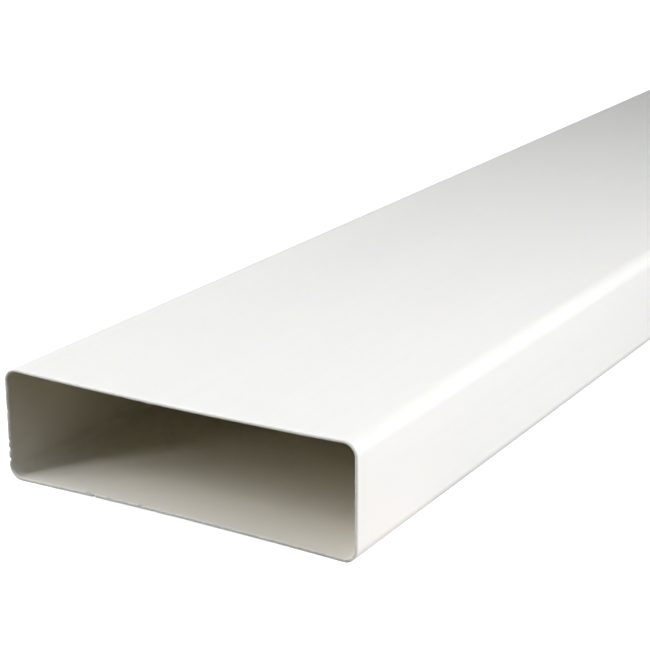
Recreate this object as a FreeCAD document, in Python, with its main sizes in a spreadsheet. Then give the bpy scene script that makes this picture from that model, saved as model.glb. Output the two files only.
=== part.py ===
# Flat channel duct: one length of extruded rigid PVC ventilation channel, lying on a wide wall.
# Millimetres. X runs across the channel, Y along it and Z up. The origin is halfway along the
# duct, midway between its side walls, on the surface that the duct lies on.

import FreeCAD
import Part
import Sketcher

import enum
import math
import os

DIMENSIONS = {
    "duct_width": 204.0,  # outside, between the two flat side walls
    "duct_height": 60.0,  # outside, between the crests of the rounded corners
    "duct_length": 1000.0,  # a stock length, sawn square at both ends
    "wall_thickness": 1.5,  # the same all round the section
    "corner_radius": 7.5,  # outside; the inside radius is one wall less
    "face_hollow": 1.3,  # dip of each wide wall, from its crests to its middle
    "edge_break": 0.4,  # chamfer that takes the burr off the sawn end edges
}

ORIGIN = (-1, 1)  # geometry and point number of a sketch's own origin
VERTICAL_AXIS = -2  # geometry number of a sketch's own upright axis
PLANE_TOLERANCE = 1e-6


class Point(enum.IntEnum):
    """A sketch's number for each point of a line or an arc."""

    START = 1
    END = 2
    CENTRE = 3


def make_sheet(doc):
    """Driving dimensions, one row each: the name in column A and the aliased number in column B."""
    sheet = doc.addObject("Spreadsheet::Sheet", "dimensions")
    for row, (alias, value) in enumerate(DIMENSIONS.items(), start=1):
        sheet.set(f"A{row}", alias)
        sheet.set(f"B{row}", str(value))
        sheet.setAlias(f"B{row}", alias)
    doc.recompute()
    return sheet


def origin_plane(body, role):
    return next(plane for plane in body.Origin.OriginFeatures if plane.Role == role)


def add_dimension(sketch, name, constraint, expression):
    """A named dimension of the sketch that follows the sheet."""
    index = sketch.addConstraint(constraint)
    sketch.renameConstraint(index, name)
    sketch.setExpression(f"Constraints.{name}", expression)


def arc(centre_x, centre_z, radius, first_angle, last_angle):
    """An arc of the section, anticlockwise from first_angle to last_angle."""
    circle = Part.Circle(FreeCAD.Vector(centre_x, centre_z, 0), FreeCAD.Vector(0, 0, 1), radius)
    return Part.ArcOfCircle(circle, first_angle, last_angle)


def add_outline(sketch, sheet, inset):
    """One closed outline of the section, lying inset inside the outer face. Two upright sides and
    two shallow hollow walls, joined by four rounded corners, every joint tangent. Returns the
    numbers of its edges and of the points at the middle of its hollow walls."""
    radius = sheet.corner_radius - inset
    corner_x = sheet.duct_width / 2 - sheet.corner_radius
    low_z = sheet.corner_radius
    high_z = sheet.duct_height - sheet.corner_radius
    side_x = corner_x + radius
    # A hollow wall's circle touches both corner circles from outside the channel.
    hollow = sheet.face_hollow
    wall_radius = (corner_x**2 + hollow**2) / (2 * hollow) - radius
    lean = math.asin(corner_x / (wall_radius + radius))
    floor_z = inset + hollow
    roof_z = sheet.duct_height - floor_z

    quarter = math.pi / 2
    edges = {
        "right": Part.LineSegment(
            FreeCAD.Vector(side_x, low_z, 0), FreeCAD.Vector(side_x, high_z, 0)
        ),
        "right_top": arc(corner_x, high_z, radius, 0, quarter + lean),
        "roof": arc(0, roof_z + wall_radius, wall_radius, 3 * quarter - lean, 3 * quarter + lean),
        "left_top": arc(-corner_x, high_z, radius, quarter - lean, 2 * quarter),
        "left": Part.LineSegment(
            FreeCAD.Vector(-side_x, high_z, 0), FreeCAD.Vector(-side_x, low_z, 0)
        ),
        "left_base": arc(-corner_x, low_z, radius, 2 * quarter, 3 * quarter + lean),
        "floor": arc(0, floor_z - wall_radius, wall_radius, quarter - lean, quarter + lean),
        "right_base": arc(corner_x, low_z, radius, 3 * quarter - lean, 4 * quarter),
    }
    number = {name: sketch.addGeometry(edge, False) for name, edge in edges.items()}
    joints = (
        ("right", Point.END, "right_top", Point.START),
        ("right_top", Point.END, "roof", Point.END),
        ("roof", Point.START, "left_top", Point.START),
        ("left_top", Point.END, "left", Point.START),
        ("left", Point.END, "left_base", Point.START),
        ("left_base", Point.END, "floor", Point.END),
        ("floor", Point.START, "right_base", Point.START),
        ("right_base", Point.END, "right", Point.START),
    )
    for first, first_point, second, second_point in joints:
        sketch.addConstraint(
            Sketcher.Constraint(
                "Tangent", number[first], first_point, number[second], second_point
            )
        )
    for corner in ("left_top", "left_base", "right_base"):
        sketch.addConstraint(Sketcher.Constraint("Equal", number["right_top"], number[corner]))
    for wall, middle_z in (("roof", roof_z), ("floor", floor_z)):
        middle = sketch.addGeometry(Part.Point(FreeCAD.Vector(0, middle_z, 0)), True)
        sketch.addConstraint(Sketcher.Constraint("PointOnObject", middle, Point.START, VERTICAL_AXIS))
        sketch.addConstraint(Sketcher.Constraint("PointOnObject", middle, Point.START, number[wall]))
        number[wall + "_middle"] = middle
    return number


def draw_section(body, sheet):
    """The die's section across the channel: an outer outline, and an inner one a wall inside it."""
    sketch = body.newObject("Sketcher::SketchObject", "section")
    sketch.AttachmentSupport = (origin_plane(body, "XZ_Plane"), "")
    sketch.MapMode = "FlatFace"
    outer = add_outline(sketch, sheet, 0.0)
    inner = add_outline(sketch, sheet, sheet.wall_thickness)

    for side in ("left", "right"):
        sketch.addConstraint(Sketcher.Constraint("Vertical", outer[side]))
    half_width = sheet.duct_width / 2
    low_z = sheet.corner_radius
    high_z = sheet.duct_height - sheet.corner_radius
    hollow = sheet.face_hollow
    wall = sheet.wall_thickness
    add_dimension(
        sketch,
        "width",
        Sketcher.Constraint(
            "DistanceX", outer["left"], Point.START, outer["right"], Point.START, sheet.duct_width
        ),
        "dimensions.duct_width",
    )
    add_dimension(
        sketch,
        "half_width",
        Sketcher.Constraint("DistanceX", *ORIGIN, outer["right"], Point.START, half_width),
        "dimensions.duct_width / 2",
    )
    for side in ("left", "right"):
        add_dimension(
            sketch,
            f"{side}_base_centre",
            Sketcher.Constraint("DistanceY", *ORIGIN, outer[f"{side}_base"], Point.CENTRE, low_z),
            "dimensions.corner_radius",
        )
        add_dimension(
            sketch,
            f"{side}_top_centre",
            Sketcher.Constraint("DistanceY", *ORIGIN, outer[f"{side}_top"], Point.CENTRE, high_z),
            "dimensions.duct_height - dimensions.corner_radius",
        )
    add_dimension(
        sketch,
        "outer_radius",
        Sketcher.Constraint("Radius", outer["right_top"], sheet.corner_radius),
        "dimensions.corner_radius",
    )
    add_dimension(
        sketch,
        "floor_hollow",
        Sketcher.Constraint("DistanceY", *ORIGIN, outer["floor_middle"], Point.START, hollow),
        "dimensions.face_hollow",
    )
    add_dimension(
        sketch,
        "roof_hollow",
        Sketcher.Constraint(
            "DistanceY", *ORIGIN, outer["roof_middle"], Point.START, sheet.duct_height - hollow
        ),
        "dimensions.duct_height - dimensions.face_hollow",
    )

    for corner in ("right_top", "left_top", "left_base", "right_base"):
        sketch.addConstraint(
            Sketcher.Constraint("Coincident", inner[corner], Point.CENTRE, outer[corner], Point.CENTRE)
        )
    add_dimension(
        sketch,
        "inner_radius",
        Sketcher.Constraint("Radius", inner["right_top"], sheet.corner_radius - wall),
        "dimensions.corner_radius - dimensions.wall_thickness",
    )
    add_dimension(
        sketch,
        "floor_wall",
        Sketcher.Constraint(
            "DistanceY", outer["floor_middle"], Point.START, inner["floor_middle"], Point.START, wall
        ),
        "dimensions.wall_thickness",
    )
    add_dimension(
        sketch,
        "roof_wall",
        Sketcher.Constraint(
            "DistanceY", inner["roof_middle"], Point.START, outer["roof_middle"], Point.START, wall
        ),
        "dimensions.wall_thickness",
    )
    return sketch


def end_edges(shape, half_length):
    """Names of the edges that lie in the two sawn end planes."""
    names = []
    for index, edge in enumerate(shape.Edges, start=1):
        box = edge.BoundBox
        flat = box.YLength < PLANE_TOLERANCE
        if flat and abs(abs(box.YMin) - half_length) < PLANE_TOLERANCE:
            names.append(f"Edge{index}")
    return names


def make_duct(doc, sheet):
    """The extruded channel, sawn to length, with the burr taken off its four end outlines."""
    body = doc.addObject("PartDesign::Body", "duct")
    body.Label = "flat_channel_duct"
    sketch = draw_section(body, sheet)

    extrusion = body.newObject("PartDesign::Pad", "extrusion")
    extrusion.Profile = sketch
    extrusion.SideType = "Symmetric"
    extrusion.setExpression("Length", "dimensions.duct_length")
    doc.recompute()

    deburr = body.newObject("PartDesign::Chamfer", "deburred_ends")
    deburr.Base = (extrusion, end_edges(extrusion.Shape, sheet.duct_length / 2))
    deburr.setExpression("Size", "dimensions.edge_break")
    doc.recompute()

    if not sketch.FullyConstrained:
        raise RuntimeError("the section is not fully constrained")
    return body


def check(doc, bodies):
    for item in doc.Objects:
        if {"Invalid", "Error"} & set(item.State):
            raise RuntimeError(f"{item.Name} failed: {item.State}")
    for body in bodies:
        if body.Shape.isNull() or not body.Shape.isValid() or len(body.Shape.Solids) != 1:
            raise RuntimeError(f"{body.Label} is not one valid solid")


def main():
    doc = FreeCAD.newDocument("flat_channel_duct")
    sheet = make_sheet(doc)
    bodies = [make_duct(doc, sheet)]
    check(doc, bodies)
    os.makedirs("parts", exist_ok=True)
    for body in bodies:
        body.Shape.exportStep(f"parts/{body.Label}.step")
        box = body.Shape.BoundBox
        print(
            f"{body.Label}: {box.XLength:.2f} x {box.YLength:.2f} x {box.ZLength:.2f} mm,"
            f" {body.Shape.Volume / 1000:.1f} cm3"
        )


main()
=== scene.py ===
import math

import bpy
import numpy as np
from mathutils import Matrix, Vector


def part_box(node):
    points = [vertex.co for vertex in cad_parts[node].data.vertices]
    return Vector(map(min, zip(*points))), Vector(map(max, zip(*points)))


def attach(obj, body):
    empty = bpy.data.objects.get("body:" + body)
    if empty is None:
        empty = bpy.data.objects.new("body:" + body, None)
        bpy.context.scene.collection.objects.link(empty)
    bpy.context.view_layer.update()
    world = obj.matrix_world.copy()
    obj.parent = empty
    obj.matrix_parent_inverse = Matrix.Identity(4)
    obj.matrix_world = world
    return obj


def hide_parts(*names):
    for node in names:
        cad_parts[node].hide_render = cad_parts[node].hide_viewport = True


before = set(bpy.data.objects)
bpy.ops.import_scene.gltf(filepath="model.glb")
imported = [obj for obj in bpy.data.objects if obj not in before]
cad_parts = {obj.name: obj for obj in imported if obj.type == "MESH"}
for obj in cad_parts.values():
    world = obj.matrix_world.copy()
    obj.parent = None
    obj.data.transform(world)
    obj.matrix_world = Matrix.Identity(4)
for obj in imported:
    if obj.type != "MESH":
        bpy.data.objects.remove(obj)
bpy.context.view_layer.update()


# Duct: one length of flat ventilation channel in rigid PVC, pushed hot through a die that draws faint
# lines along it, and set in a cold sizing box that leaves both skins satin. Both ends are sawn square and
# partly scraped, with some chips and burrs left on their edges. It lies loose on one wide wall.
MM = 0.001
low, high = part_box("flat_channel_duct")
duct_width, duct_length, duct_height = high - low
half_length = duct_length / 2
wall = 1.5 * MM
corner_radius = 7.5 * MM
corner_x = duct_width / 2 - corner_radius
face_hollow = 1.3 * MM
outline_step = 0.7 * MM


def arc(centre_x, centre_z, radius, start, end):
    """Points and outward normals of one bend of the section, up to but not with its end. A negative
    radius is a hollow, whose normals point at its centre."""
    count = max(1, round(abs(radius * (end - start)) / outline_step))
    angles = np.linspace(start, end, count, endpoint=False)
    away = np.stack([np.cos(angles), np.sin(angles)], 1)
    return (centre_x, centre_z) + abs(radius) * away, math.copysign(1, radius) * away


def upright(x, first_z, last_z):
    """The same for one flat side wall, between two heights."""
    count = max(1, round(abs(last_z - first_z) / outline_step))
    heights = np.linspace(first_z, last_z, count, endpoint=False)
    points = np.stack([np.full(count, x), heights], 1)
    return points, np.tile((math.copysign(1, x), 0.0), (count, 1))


def section_outline():
    """Points and outward normals once round the outside of the section, anticlockwise."""
    quarter = math.pi / 2
    base_z = corner_radius
    top_z = duct_height - corner_radius
    # A hollow wall's circle touches both corner circles from outside the channel.
    hollow_radius = (corner_x**2 + face_hollow**2) / (2 * face_hollow) - corner_radius
    lean = math.asin(corner_x / (hollow_radius + corner_radius))
    roof_centre_z = duct_height - face_hollow + hollow_radius
    floor_centre_z = face_hollow - hollow_radius
    stretches = (
        upright(duct_width / 2, base_z, top_z),
        arc(corner_x, top_z, corner_radius, 0, quarter + lean),
        arc(0, roof_centre_z, -hollow_radius, 3 * quarter + lean, 3 * quarter - lean),
        arc(-corner_x, top_z, corner_radius, quarter - lean, 2 * quarter),
        upright(-duct_width / 2, top_z, base_z),
        arc(-corner_x, base_z, corner_radius, 2 * quarter, 3 * quarter + lean),
        arc(0, floor_centre_z, -hollow_radius, quarter + lean, quarter - lean),
        arc(corner_x, base_z, corner_radius, 3 * quarter - lean, 4 * quarter),
    )
    points = np.concatenate([points for points, normals in stretches])
    normals = np.concatenate([normals for points, normals in stretches])
    return points, normals


outline, outward = section_outline()
outline_count = len(outline)
relief_seed = 11
rng = np.random.default_rng(relief_seed)


def ripple(pitch):
    """Smooth random relief once round the outline, with features about a pitch wide, from -1 to 1."""
    waves = np.fft.rfft(rng.standard_normal(outline_count))
    finest = outline_count * outline_step / pitch
    waves *= np.exp(-((np.arange(len(waves)) / finest) ** 2))
    relief = np.fft.irfft(waves, outline_count)
    return relief / np.abs(relief).max()


def lifted_ripple(pitch):
    """Ripple from 0 to 1."""
    return 0.5 + 0.5 * ripple(pitch)


def patches(pitch, share):
    """Ripple that only stands above zero over about that share of the outline, from 0 to 1."""
    relief = ripple(pitch)
    threshold = np.quantile(relief, 1 - share)
    return np.clip((relief - threshold) / (relief.max() - threshold), 0, 1)


def peaks(places):
    """Single peaks round the outline. A place is x, z, width and height, all in millimetres."""
    relief = np.zeros(outline_count)
    for x, z, width, height in places:
        nearest = np.argmin(np.hypot(outline[:, 0] - x * MM, outline[:, 1] - z * MM))
        steps = np.abs(np.arange(outline_count) - nearest)
        distance = outline_step * np.minimum(steps, outline_count - steps)
        relief += height * MM * np.clip(1 - distance / (width / 2 * MM), 0, None)
    return relief


sharp_edge_round = 0.15 * MM
scraped_edge_round = 0.9 * MM
widest_edge_round = 1.1 * MM
edge_unevenness = 0.2
edge_shoulder = 0.2 * MM  # from an edge's round to the row that keeps the skin flat behind it
narrowest_cut = 0.2 * MM  # flat width that is left between the rounds of the two edges
chip_depth = 0.25 * MM
chip_pitch = 3 * MM
chip_share = 0.2
burr_height = 0.25 * MM
burr_pitch = 6 * MM
burr_share = 0.25
saw_mark_depth = 0.05 * MM
saw_mark_pitch = 1.5 * MM
saw_mark_rows = (0.33, 0.67)  # as shares of the cut's width
saw_wander = 0.25 * MM
wander_pitch = 45 * MM
round_angles = np.radians([0, 30, 60, 90])


def edge_round(scraped):
    """Radius of one edge of a cut, all round it and a little uneven. scraped is 0 where it is sharp."""
    even = sharp_edge_round + (scraped_edge_round - sharp_edge_round) * scraped
    return even * (1 + edge_unevenness * ripple(chip_pitch))


def sawn_end(chips, burrs):
    """Rows over one sawn end, from the outer skin to the inner one: for every point of the outline, its
    depth below the outer skin and its distance back from the cut. chips and burrs are the large ones.
    A scraper rounded the edges that face up and to the right: the outer ones on top and to the right, and
    the inner ones to the left. The others are left sharp."""
    scraped = np.clip(outward[:, 0] + outward[:, 1], 0, 1)
    outer_round = edge_round(scraped)
    chipped = chip_depth * (1 - scraped) * patches(chip_pitch, chip_share) + chips
    outer_round = np.minimum(outer_round + chipped, widest_edge_round)
    inner_round = edge_round(np.clip(-outward[:, 0], 0, 1))
    inner_round = np.minimum(inner_round, wall - narrowest_cut - outer_round)
    inner_edge = wall + burr_height * patches(burr_pitch, burr_share) + burrs
    wander = saw_wander * lifted_ripple(wander_pitch)
    rows = [(np.zeros(outline_count), outer_round + edge_shoulder)]
    for angle in round_angles:
        rows.append((outer_round * (1 - np.cos(angle)), outer_round * (1 - np.sin(angle))))
    cut_width = inner_edge - inner_round - outer_round
    for share in saw_mark_rows:
        rows.append((outer_round + cut_width * share, saw_mark_depth * lifted_ripple(saw_mark_pitch)))
    for angle in round_angles[::-1]:
        rows.append((inner_edge - inner_round * (1 - np.cos(angle)), inner_round * (1 - np.sin(angle))))
    rows.append((np.full(outline_count, wall), inner_round + edge_shoulder))
    return [(depth, back + wander + chipped) for depth, back in rows]


# Damage that the near end shows: chips down its left edge and one on its floor, and three curled burrs on
# its floor. Each has its place across and up, its width, and its depth or height, in millimetres.
near_chips = (
    (-102, 36, 3, 0.3),
    (-102, 20.3, 2.5, 0.45),
    (-102, 15.7, 3, 0.55),
    (-102, 10.2, 2, 0.75),
    (-49, 0, 2.5, 0.6),
)
near_burrs = ((-52.3, 0, 3, 1.2), (-39.7, 0, 3, 0.7), (-20.6, 0, 3, 0.7))

die_line_depth = 0.012 * MM
die_line_pitch = 4 * MM
wave_depth = 0.12 * MM
wave_shares = {3: 0.6, 7: 0.4}  # half waves along the duct, and each one's share of the depth
station_step = 40 * MM
end_supports = np.array([2.6, 4, 7, 14]) * MM  # rings that keep the skins straight behind a cut
# The wide walls wave most in the middle of their width, and the corners hold them.
wall_slack = np.clip(1 - (outline[:, 0] / corner_x) ** 2, 0, None)
OUTER_SKIN, INNER_SKIN, SAWN_FACE = range(3)


def skin(depth, stations, material):
    """Rings along one skin of the duct, at a depth below its outer outline."""
    rings = []
    for y in stations:
        turn = math.pi * (y / duct_length + 0.5)
        wave = wave_depth * sum(share * math.sin(count * turn) for count, share in wave_shares.items())
        rings.append((depth + wave * wall_slack, np.full(outline_count, y), material))
    return rings


def duct_rings():
    """All rings of the duct: along the outer skin to the far end, over its sawn face, back along the
    inner skin and over the near face. A ring has, for every point, a depth below the outer outline and a
    place along the duct, and then the number of the material that starts at it."""
    steps = round(duct_length / station_step)
    middle = np.linspace(-half_length, half_length, steps + 1)[1:-1]
    stations = np.concatenate([end_supports - half_length, middle, half_length - end_supports[::-1]])
    outer = skin(die_line_depth * lifted_ripple(die_line_pitch), stations, OUTER_SKIN)
    inner = skin(wall + die_line_depth * ripple(die_line_pitch), stations[::-1], INNER_SKIN)
    far_rows = sawn_end(0, 0)
    near_rows = sawn_end(peaks(near_chips), peaks(near_burrs))[::-1]
    # Materials of the strips between an end's rows, from the outer skin to the inner one.
    strips = [OUTER_SKIN] * len(round_angles)
    strips += [SAWN_FACE] * (len(saw_mark_rows) + len(round_angles))
    strips += [INNER_SKIN]
    far_end = [
        (depth, half_length - back, material)
        for (depth, back), material in zip(far_rows, strips + [INNER_SKIN])
    ]
    near_end = [
        (depth, back - half_length, material)
        for (depth, back), material in zip(near_rows, strips[::-1] + [OUTER_SKIN])
    ]
    return outer + far_end + inner + near_end


depths, places, ring_materials = zip(*duct_rings())
sections = outline - np.array(depths)[:, :, None] * outward
vertices = np.stack([sections[:, :, 0], np.array(places), sections[:, :, 1]], 2)
numbers = np.arange(len(depths) * outline_count).reshape(len(depths), outline_count)
next_ring = np.roll(numbers, -1, 0)
faces = np.stack([numbers, next_ring, np.roll(next_ring, -1, 1), np.roll(numbers, -1, 1)], 2)
duct_mesh = bpy.data.meshes.new("flat_channel_duct_skin")
duct_mesh.from_pydata(vertices.reshape(-1, 3).tolist(), [], faces.reshape(-1, 4).tolist())
duct_mesh.polygons.foreach_set("material_index", np.repeat(ring_materials, outline_count))
duct_mesh.shade_smooth()
duct = bpy.data.objects.new("extruded_duct", duct_mesh)
bpy.context.scene.collection.objects.link(duct)


def linear(colour):
    """Linear red, green, blue and alpha of an sRGB hex colour."""
    parts = [int(colour[i : i + 2], 16) / 255 for i in (1, 3, 5)]
    return [c / 12.92 if c <= 0.04045 else ((c + 0.055) / 1.055) ** 2.4 for c in parts] + [1.0]


def add_node(tree, kind, inputs, **settings):
    """A new shader node. An input is a value, or the output of another node that feeds it."""
    node = tree.nodes.new(kind)
    for name, value in settings.items():
        setattr(node, name, value)
    for name, value in inputs.items():
        if isinstance(value, bpy.types.NodeSocket):
            tree.links.new(value, node.inputs[name])
        else:
            node.inputs[name].default_value = value
    return node


upvc_ior = 1.53
upvc_scatter = 0.5 * MM
upvc_scatter_tint = (1.0, 0.95, 0.85)


def upvc(name):
    """A new material of rigid PVC, and its shader. Light spreads about half a millimetre inside it, which
    softens thin edges."""
    material = bpy.data.materials.new(name)
    material.use_nodes = True
    shader = material.node_tree.nodes["Principled BSDF"]
    shader.inputs["IOR"].default_value = upvc_ior
    shader.inputs["Subsurface Weight"].default_value = 1.0
    shader.inputs["Subsurface Scale"].default_value = upvc_scatter
    shader.inputs["Subsurface Radius"].default_value = upvc_scatter_tint
    return material, shader


# Numbers of a Mix node's sockets when it mixes colours.
MIX_FACTOR, MIX_FIRST, MIX_SECOND, MIX_RESULT = 0, 6, 7, 2
streak_detail = 3.0
streak_breakup = 0.6  # share that each finer layer of the noise adds
streak_span = (0.3, 0.7)  # where most of the noise lies between 0 and 1
grain_detail = 2.0
grain_strength = 0.3
grain_depth = 0.01 * MM
# How far in from each end the painted light near the open ends reaches.
painted_light_reach = 150 * MM


def extruded_skin(name, shades, painted_light_shade, roughness, streak_width, streak_length, grain):
    """Drawn rigid PVC. Soft streaks along the duct change its shade and its gloss a little, and a fine grain
    breaks up its reflections. Low down near each end its colour turns to a paler painted light shade, as
    where light comes in at an open end; higher up and deeper in it keeps its darker shade, a painted shade.
    Sizes are in metres."""
    material, shader = upvc(name)
    tree = material.node_tree
    place = add_node(tree, "ShaderNodeTexCoord", {}).outputs["Object"]
    stretch = (1 / streak_width, 1 / streak_length, 1 / streak_width)
    drawn = add_node(tree, "ShaderNodeVectorMath", {0: place, 1: stretch}, operation="MULTIPLY").outputs[0]
    streaks = add_node(
        tree,
        "ShaderNodeTexNoise",
        {"Vector": drawn, "Scale": 1.0, "Detail": streak_detail, "Roughness": streak_breakup},
    ).outputs["Fac"]
    streaky = add_node(
        tree,
        "ShaderNodeMix",
        {MIX_FACTOR: streaks, MIX_FIRST: linear(shades[0]), MIX_SECOND: linear(shades[1])},
        data_type="RGBA",
    ).outputs[MIX_RESULT]
    # Painted light: paler low down near each end, where light comes in; darker higher up and deeper in.
    place_parts = add_node(tree, "ShaderNodeSeparateXYZ", {"Vector": place}).outputs
    from_middle = add_node(tree, "ShaderNodeMath", {0: place_parts["Y"]}, operation="ABSOLUTE").outputs[0]
    near_end = add_node(
        tree,
        "ShaderNodeMapRange",
        {"Value": from_middle, "From Min": half_length - painted_light_reach, "From Max": half_length},
    ).outputs[0]
    low_down = add_node(
        tree, "ShaderNodeMapRange", {"Value": place_parts["Z"], "From Min": duct_height, "From Max": 0.0}
    ).outputs[0]
    painted_light = add_node(tree, "ShaderNodeMath", {0: near_end, 1: low_down}, operation="MULTIPLY").outputs[0]
    painted_light_colour = add_node(
        tree,
        "ShaderNodeMix",
        {MIX_FACTOR: painted_light, MIX_FIRST: streaky, MIX_SECOND: linear(painted_light_shade)},
        data_type="RGBA",
    ).outputs[MIX_RESULT]
    tree.links.new(painted_light_colour, shader.inputs["Base Color"])
    gloss = add_node(
        tree,
        "ShaderNodeMapRange",
        {
            "Value": streaks,
            "From Min": streak_span[0],
            "From Max": streak_span[1],
            "To Min": roughness[0],
            "To Max": roughness[1],
        },
    ).outputs[0]
    tree.links.new(gloss, shader.inputs["Roughness"])
    specks = add_node(
        tree, "ShaderNodeTexNoise", {"Vector": place, "Scale": 1 / grain, "Detail": grain_detail}
    ).outputs["Fac"]
    relief = add_node(
        tree, "ShaderNodeBump", {"Height": specks, "Strength": grain_strength, "Distance": grain_depth}
    ).outputs[0]
    tree.links.new(relief, shader.inputs["Normal"])
    return material


# Outside, the sizing box leaves an even satin white. Its neutral white is the plastic coloured as it
# looks in full light, a painted light beside the inner skin's painted shade. The true grain is under
# 0.1 mm, drawn at 0.8 mm.
outer_skin = extruded_skin(
    "extruded_upvc_outer_skin",
    shades=("#EEEEEC", "#F2F2F0"),
    # Its painted light near the ends is its own mean shade, so it changes next to nothing.
    painted_light_shade="#F0F0EE",
    roughness=(0.54, 0.62),
    streak_width=5 * MM,
    streak_length=400 * MM,
    grain=0.8 * MM,
)
# Inside, the skin cools against air: a duller white with wider streaks. Its creamier, darker shade is the
# outer skin's plastic coloured as it looks in shade, a painted shade. Low down near the ends it is painted
# paler and bluer, a painted light where light comes in at the open ends. Its true grain is about 0.1 mm,
# drawn at 1.2 mm.
inner_skin = extruded_skin(
    "extruded_upvc_inner_skin",
    shades=("#E7E1C9", "#EDE7CF"),
    # Painted light near the ends: paler and bluer, as where light comes in at the open ends.
    painted_light_shade="#EEEBE5",
    roughness=(0.54, 0.64),
    streak_width=9 * MM,
    streak_length=250 * MM,
    grain=1.2 * MM,
)

# At the ends a coarse blade leaves a matt cut, whitened in blotches and finely scratched upright. The true
# scratches are about 0.1 mm wide, drawn at 0.4 mm.
sawn_shades = ("#ECEAE2", "#FAFAF6")
sawn_roughness = 0.7
blotch_size = 3 * MM
blotch_detail = 2.0
blotch_span = (0.4, 0.6)
scratch_width = 0.4 * MM
scratch_length = 3 * MM
scratch_detail = 3.0
scratch_strength = 0.5
scratch_depth = 0.05 * MM


def sawn_face(name):
    """Rigid PVC as the blade leaves it."""
    material, shader = upvc(name)
    tree = material.node_tree
    shader.inputs["Roughness"].default_value = sawn_roughness
    place = add_node(tree, "ShaderNodeTexCoord", {}).outputs["Object"]
    stretch = (1 / scratch_width, 1 / scratch_width, 1 / scratch_length)
    drawn = add_node(tree, "ShaderNodeVectorMath", {0: place, 1: stretch}, operation="MULTIPLY").outputs[0]
    scratches = add_node(
        tree, "ShaderNodeTexNoise", {"Vector": drawn, "Scale": 1.0, "Detail": scratch_detail}
    ).outputs["Fac"]
    blotches = add_node(
        tree, "ShaderNodeTexNoise", {"Vector": place, "Scale": 1 / blotch_size, "Detail": blotch_detail}
    ).outputs["Fac"]
    whitened = add_node(
        tree,
        "ShaderNodeMapRange",
        {"Value": blotches, "From Min": blotch_span[0], "From Max": blotch_span[1]},
    ).outputs[0]
    blotchy = add_node(
        tree,
        "ShaderNodeMix",
        {MIX_FACTOR: whitened, MIX_FIRST: linear(sawn_shades[0]), MIX_SECOND: linear(sawn_shades[1])},
        data_type="RGBA",
    ).outputs[MIX_RESULT]
    tree.links.new(blotchy, shader.inputs["Base Color"])
    relief = add_node(
        tree,
        "ShaderNodeBump",
        {"Height": scratches, "Strength": scratch_strength, "Distance": scratch_depth},
    ).outputs[0]
    tree.links.new(relief, shader.inputs["Normal"])
    return material


# In the order of OUTER_SKIN, INNER_SKIN and SAWN_FACE.
for material in (outer_skin, inner_skin, sawn_face("sawn_upvc_face")):
    duct_mesh.materials.append(material)
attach(duct, "root")
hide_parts("flat_channel_duct")


# Studio floor: a wide sheet of matt white paper on a light table, which keeps it white up to the duct.
# It sends no light into the duct: the cards and the fill below stand in for that.
floor_reach = 12.0
floor_glow = 0.9
paper_roughness = 0.9
floor_mesh = bpy.data.meshes.new("studio_floor")
corners = [(-floor_reach, -floor_reach, 0), (floor_reach, -floor_reach, 0)]
corners += [(floor_reach, floor_reach, 0), (-floor_reach, floor_reach, 0)]
floor_mesh.from_pydata(corners, [], [(0, 1, 2, 3)])
floor = bpy.data.objects.new("studio_floor", floor_mesh)
bpy.context.scene.collection.objects.link(floor)
paper = bpy.data.materials.new("white_paper")
paper.use_nodes = True
paper_shader = paper.node_tree.nodes["Principled BSDF"]
paper_shader.inputs["Base Color"].default_value = linear("#E8E8E8")
paper_shader.inputs["Roughness"].default_value = paper_roughness
paper_shader.inputs["Emission Color"].default_value = linear("#FFFFFF")
paper_shader.inputs["Emission Strength"].default_value = floor_glow
floor_mesh.materials.append(paper)
floor.visible_diffuse = False
floor.visible_glossy = False


# Studio light: softboxes to the right, to the left, before the open end and low behind the far one, and a
# tall strip at the left front, whose shadow edge crosses the duct's floor. Cards by the side wall and the
# far end give the light that white paper sends up, and a dim even fill gives that of the studio.
aim_height = 0.03
aim_depth = 0.2  # from the near end into the duct
near_aim = Vector((0, aim_depth - half_length, aim_height))
far_aim = Vector((0, half_length, aim_height))
lamp_white = "#FFFFFF"


def soft_light(name, place, direction, size, power, colour):
    """A light of a width and height that shines in a direction, out of the camera's sight."""
    lamp = bpy.data.lights.new(name, "AREA")
    lamp.shape = "RECTANGLE"
    lamp.size, lamp.size_y = size
    lamp.energy = power
    lamp.color = linear(colour)[:3]
    light = bpy.data.objects.new(name, lamp)
    light.location = place
    light.rotation_euler = direction.to_track_quat("-Z", "Y").to_euler()
    light.visible_camera = False
    bpy.context.scene.collection.objects.link(light)


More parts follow.
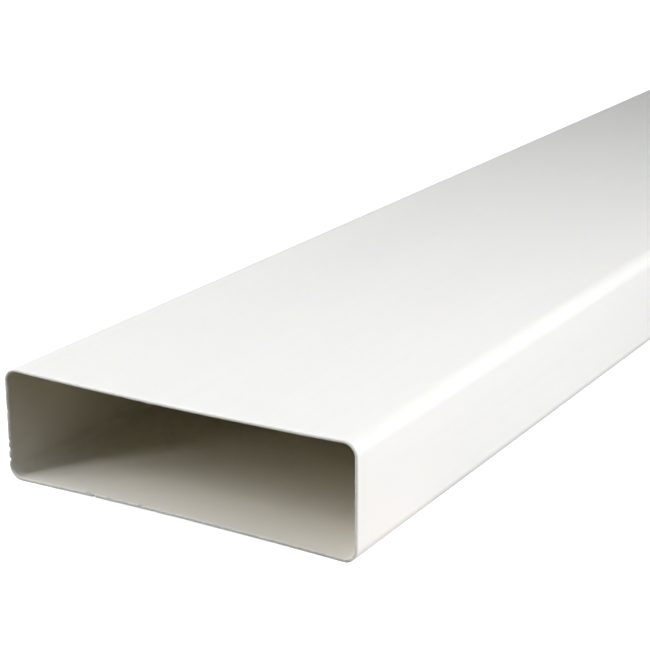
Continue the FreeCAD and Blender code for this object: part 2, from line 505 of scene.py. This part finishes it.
# Point aimed at, azimuth anticlockwise from the duct's right and elevation in degrees, distance and size
# in metres, watts.
softboxes = {
    "right_softbox": (near_aim, 0, 30, 1.2, (0.5, 0.5), 13.5),
    "left_softbox": (near_aim, 200, 25, 1.2, (1.0, 1.0), 13.8),
    "strip_softbox": (near_aim, 235, 33, 1.6, (0.3, 1.0), 6.2),
    "front_softbox": (near_aim, 300, 55, 1.5, (1.0, 1.0), 2.8),
    "rear_softbox": (far_aim, 120, 4, 0.8, (0.6, 0.1), 3.2),
}
for name, (aim, azimuth, elevation, reach, size, power) in softboxes.items():
    turn = math.radians(azimuth)
    rise = math.radians(elevation)
    way = Vector((math.cos(turn) * math.cos(rise), math.sin(turn) * math.cos(rise), math.sin(rise)))
    soft_light(name, aim + reach * way, -way, size, power, lamp_white)
# The top, seen from the front, would mirror the low light behind it.
bpy.data.objects["rear_softbox"].visible_glossy = False

card_size = 0.25
card_height = 1 * MM
card_tuck = 3.5 * MM  # under the corner's round, so that no dark gap is left
beside = duct_width / 2 - card_tuck + card_size / 2
behind = half_length - card_tuck + card_size / 2
# Place across and along the duct in metres, watts and colour. The one by the near end is warm.
cards = {
    "warm_card": (beside, -0.55, 0.085, "#FFF2EA"),
    "white_card_1": (beside, -0.3, 0.05, lamp_white),
    "white_card_2": (beside, -0.05, 0.045, lamp_white),
    "white_card_3": (beside, 0.2, 0.01, lamp_white),
    "white_card_4": (beside, 0.45, 0.006, lamp_white),
    "rear_card": (0, behind, 0.2, lamp_white),
}
for name, (x, y, power, colour) in cards.items():
    place = Vector((x, y, card_height))
    soft_light(name, place, Vector((0, 0, 1)), (card_size, card_size), power, colour)

studio_fill = 0.062
world = bpy.data.worlds.new("studio")
bpy.context.scene.world = world
world.use_nodes = True
world.node_tree.nodes["Background"].inputs["Color"].default_value = linear(lamp_white)
world.node_tree.nodes["Background"].inputs["Strength"].default_value = studio_fill
bpy.context.scene.view_settings.view_transform = "Standard"


# Camera: a long lens in front of the open end and to its right, looking down on the duct. Its place, its
# turn and its lens are those that lay the duct's edges on the photo's.
camera_place = Vector((0.4773, -0.6579 - half_length, 0.3607))
camera_yaw = math.radians(30.801)
camera_pitch = math.radians(17.945)
camera_roll = math.radians(-0.119)
camera_lens = 101.10
camera_sensor = 36.0
camera_data = bpy.data.cameras.new("camera")
camera_data.lens = camera_lens
camera_data.sensor_width = camera_sensor
camera = bpy.data.objects.new("camera", camera_data)
bpy.context.scene.collection.objects.link(camera)
level_aim = Matrix.Rotation(camera_yaw, 4, "Z") @ Matrix.Rotation(math.pi / 2 - camera_pitch, 4, "X")
camera.matrix_world = Matrix.Translation(camera_place) @ level_aim @ Matrix.Rotation(camera_roll, 4, "Z")
bpy.context.scene.camera = camera
